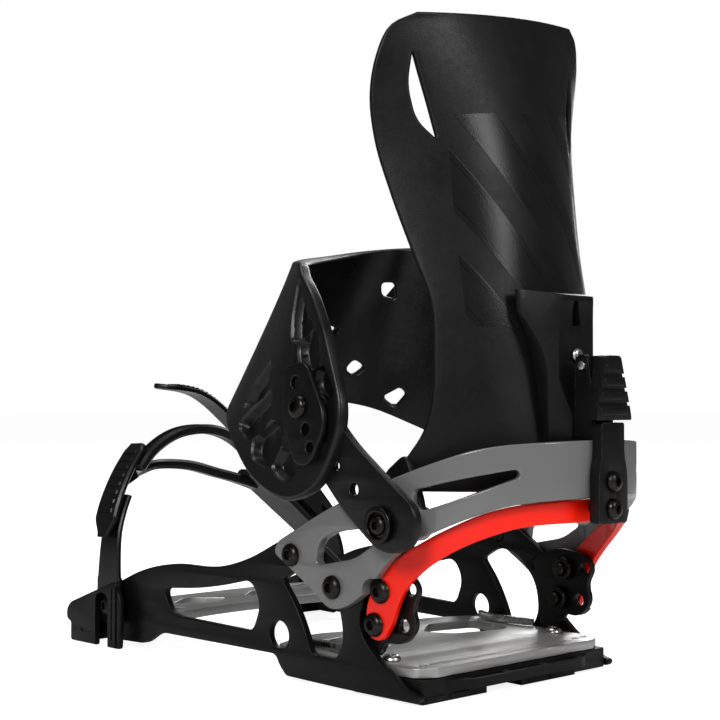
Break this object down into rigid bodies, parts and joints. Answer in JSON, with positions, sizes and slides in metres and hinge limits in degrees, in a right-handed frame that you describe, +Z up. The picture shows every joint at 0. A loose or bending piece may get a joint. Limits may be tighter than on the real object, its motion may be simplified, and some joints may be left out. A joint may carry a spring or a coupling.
{
  "type": "splitboard touring binding",
  "caption": "Splitboard touring binding: black side-plate chassis, grey and red heel hoops, tall folding highback, closed ankle and toe straps with ratchet buckles.",
  "frame": {"origin": "on the board plane, on the midline between the side plates, 80 mm behind the toe strap pivots", "axes": "+Z up from the board, +Y towards the toe, +X to the right"},
  "size_m": [0.1521, 0.2502, 0.2547],
  "materials": {
    "anodised_black": "satin black anodised or powder-coated aluminium",
    "aluminium": "brushed",
    "grey_paint": "gloss mid grey",
    "red_paint": "gloss orange-red",
    "bolt_black": "black oxide",
    "steel": "bright",
    "black_plastic": "satin moulded, fine grain",
    "strap_plastic": "satin moulded",
    "foam": "moulded soft foam",
    "rubber": "moulded"
  },
  "bodies": {
    "chassis": {"deck_screw_left": "steel", "deck_screw_right": "steel", "front_deck": "aluminium", "heel_bumper": "rubber", "heel_hoop": "grey_paint", "hoop_bolt_front_left": "bolt_black", "hoop_bolt_front_right": "bolt_black", "hoop_bolt_rear_left": "bolt_black", "hoop_bolt_rear_right": "bolt_black", "hoop_link": "anodised_black", "inner_bracket_left": "anodised_black", "inner_bracket_right": "anodised_black", "lean_lever_pin": "steel", "leg_bolt_lower_left": "bolt_black", "leg_bolt_lower_right": "bolt_black", "leg_bolt_upper_left": "bolt_black", "leg_bolt_upper_right": "bolt_black", "leg_nut_lower_left": "bolt_black", "leg_nut_lower_right": "bolt_black", "leg_nut_upper_left": "bolt_black", "leg_nut_upper_right": "bolt_black", "link_rivet": "bolt_black", "link_screw": "bolt_black", "lower_hoop": "red_paint", "rear_deck": "aluminium", "side_plate_left": "anodised_black", "side_plate_right": "anodised_black", "strap_bolt_left": "bolt_black", "strap_bolt_right": "bolt_black", "strap_nut_left": "steel", "strap_nut_right": "steel", "toe_block_left": "black_plastic", "toe_block_right": "black_plastic", "toe_strap_bolt_left": "bolt_black", "toe_strap_bolt_right": "bolt_black"},
    "highback": {"highback": "black_plastic", "lean_block": "black_plastic", "lean_block_screw": "steel"},
    "lean_lever": {"lean_lever": "black_plastic"},
    "ankle_strap": {"ankle_strap_arm": "strap_plastic", "ankle_pad": "foam", "ankle_mount_plate": "strap_plastic", "ankle_mount_bolt": "bolt_black", "ankle_buckle_base": "anodised_black", "ankle_buckle_pin": "steel", "ankle_ladder": "strap_plastic"},
    "ankle_buckle_lever": {"ankle_buckle_lever": "black_plastic"},
    "toe_strap": {"toe_adjust_strap": "strap_plastic", "toe_slider": "strap_plastic", "toe_cap": "strap_plastic", "toe_buckle_base": "anodised_black", "toe_buckle_pin": "steel", "toe_ladder": "strap_plastic"},
    "toe_buckle_lever": {"toe_buckle_lever": "black_plastic"},
    "latch_jaw_left": {"latch_jaw_left": "steel"},
    "latch_jaw_right": {"latch_jaw_right": "steel"}
  },
  "joints": [
    {"name": "highback_fold", "type": "hinge", "parent": "chassis", "child": "highback", "pos_m": [0, -0.091, 0.0625], "axis": [-1, 0, 0], "range_deg": [0, 25]},
    {"name": "lean_lever_flip", "type": "hinge", "parent": "chassis", "child": "lean_lever", "pos_m": [0, -0.1325, 0.1175], "axis": [-1, 0, 0], "range_deg": [0, 65]},
    {"name": "ankle_strap_swing", "type": "hinge", "parent": "chassis", "child": "ankle_strap", "pos_m": [0, -0.091, 0.0625], "axis": [-1, 0, 0], "range_deg": [0, 20]},
    {"name": "ankle_buckle_open", "type": "hinge", "parent": "ankle_strap", "child": "ankle_buckle_lever", "pos_m": [0.06994, 0.01432, 0.13668], "axis": [0.2146, -0.6771, 0.7039], "range_deg": [0, 50], "stiffness_Nm_per_rad": 0.01, "springref_deg": -5.73},
    {"name": "toe_strap_swing", "type": "hinge", "parent": "chassis", "child": "toe_strap", "pos_m": [0, 0.08, 0.017], "axis": [-1, 0, 0], "range_deg": [0, 35]},
    {"name": "toe_buckle_open", "type": "hinge", "parent": "toe_strap", "child": "toe_buckle_lever", "pos_m": [0.04583, 0.0862, 0.06311], "axis": [0, -1, 0], "range_deg": [0, 42], "stiffness_Nm_per_rad": 0.01, "springref_deg": -5.73},
    {"name": "latch_jaw_left_slide", "type": "slide", "parent": "chassis", "child": "latch_jaw_left", "axis": [1, 0, 0], "range_m": [0, 0.003]},
    {"name": "latch_jaw_right_slide", "type": "slide", "parent": "chassis", "child": "latch_jaw_right", "axis": [-1, 0, 0], "range_m": [0, 0.003]}
  ],
  "couplings": [
    {"joint": "latch_jaw_right_slide", "follows": "latch_jaw_left_slide", "ratio": 1}
  ]
}
